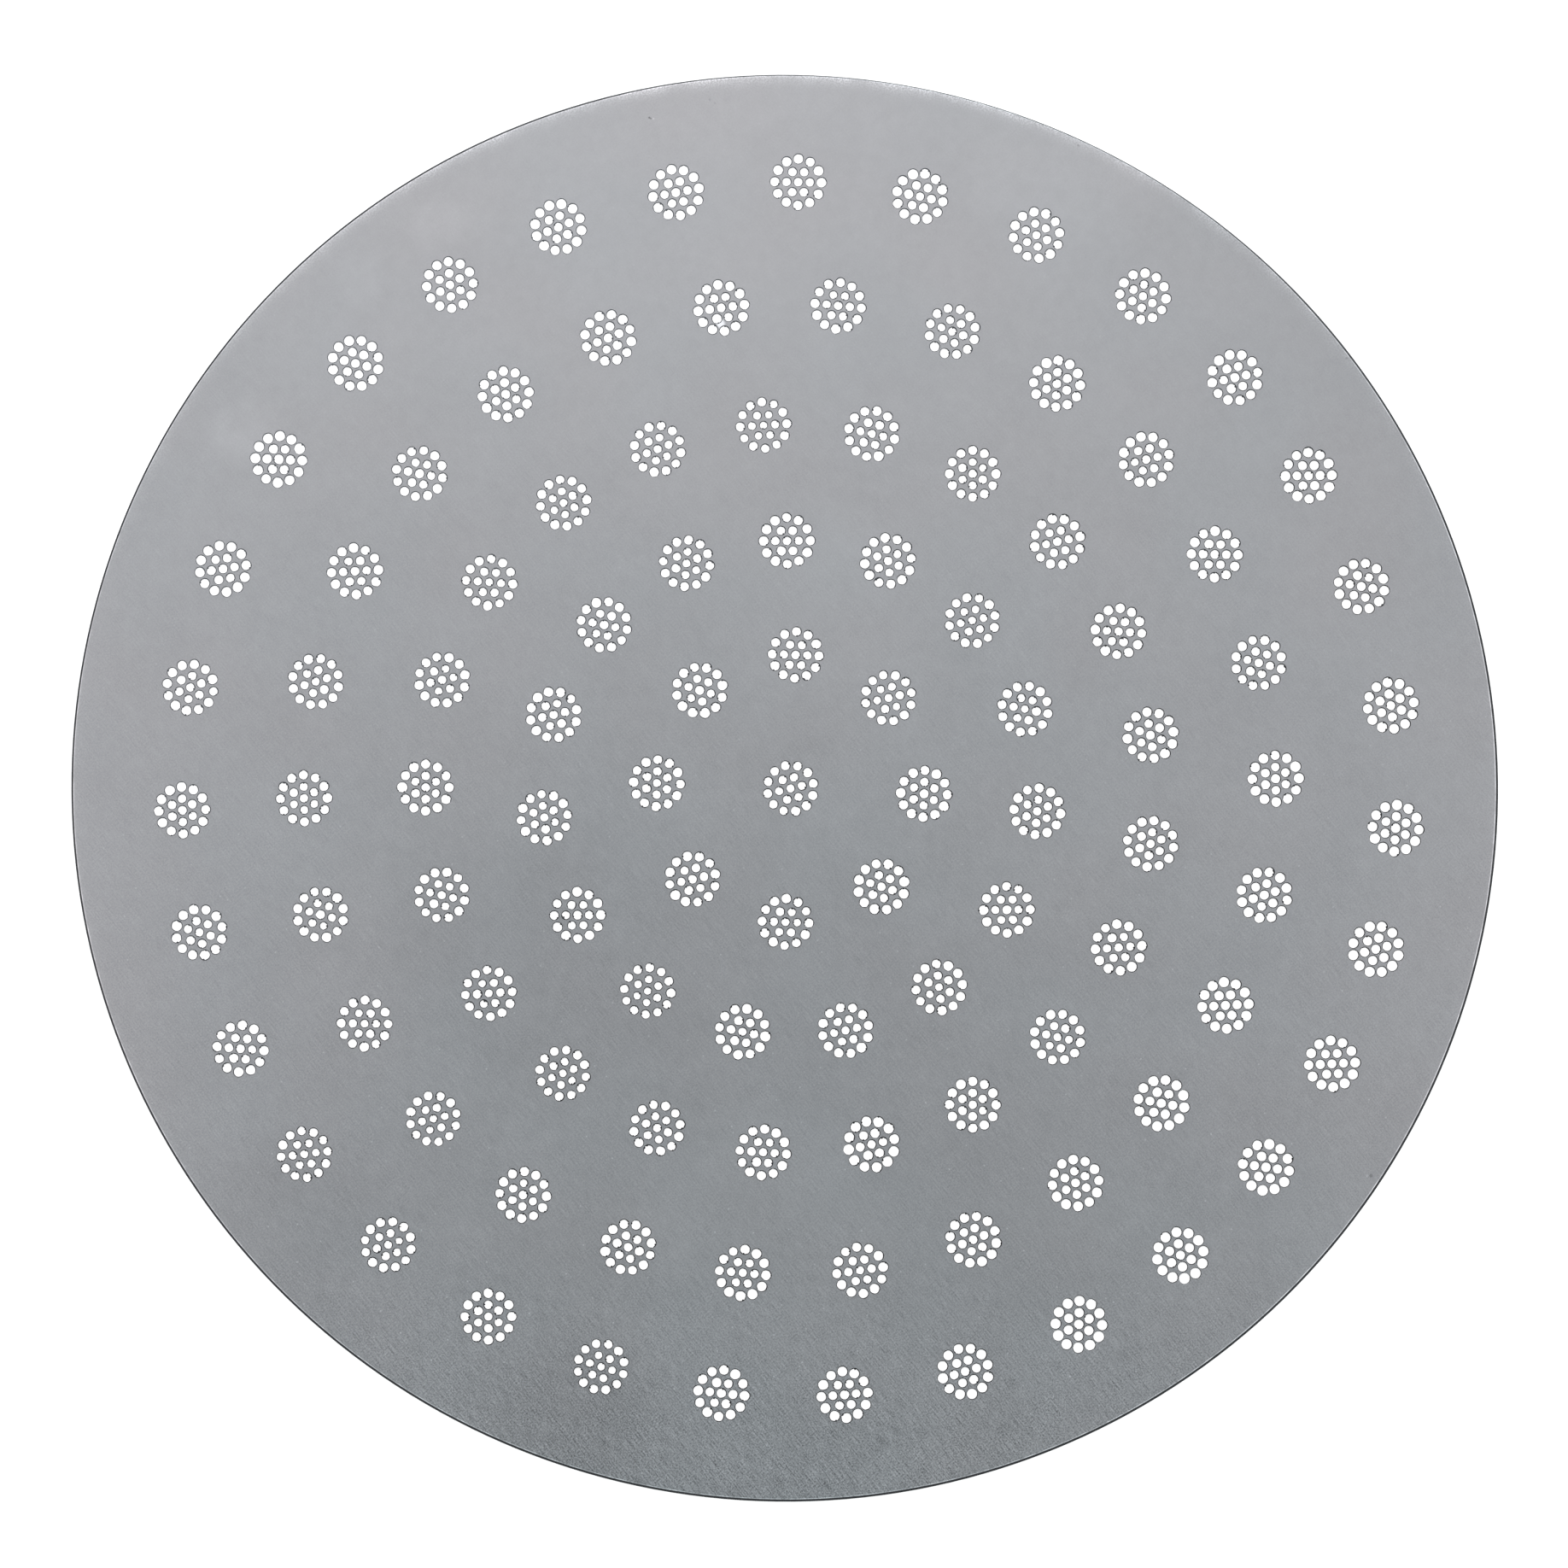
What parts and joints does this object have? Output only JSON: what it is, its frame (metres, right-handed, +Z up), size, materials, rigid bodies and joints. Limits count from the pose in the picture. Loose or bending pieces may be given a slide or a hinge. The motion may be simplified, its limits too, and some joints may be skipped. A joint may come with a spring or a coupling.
{
  "type": "espresso puck screen",
  "caption": "Thin round stainless disc perforated in rings of hole clusters, which lies on the ground coffee in a filter basket and spreads the water.",
  "frame": {"origin": "centre of the round rim, on the lower face of the sheet", "axes": "+Z up, square to the sheet; +X along the line from the middle cluster to the first cluster of every ring"},
  "size_m": [0.0586, 0.0586, 0.0002],
  "materials": {
    "stainless_sheet": "satin, fine straight grain"
  },
  "bodies": {
    "root": {"puck_screen": "stainless_sheet"}
  },
  "joints": []
}
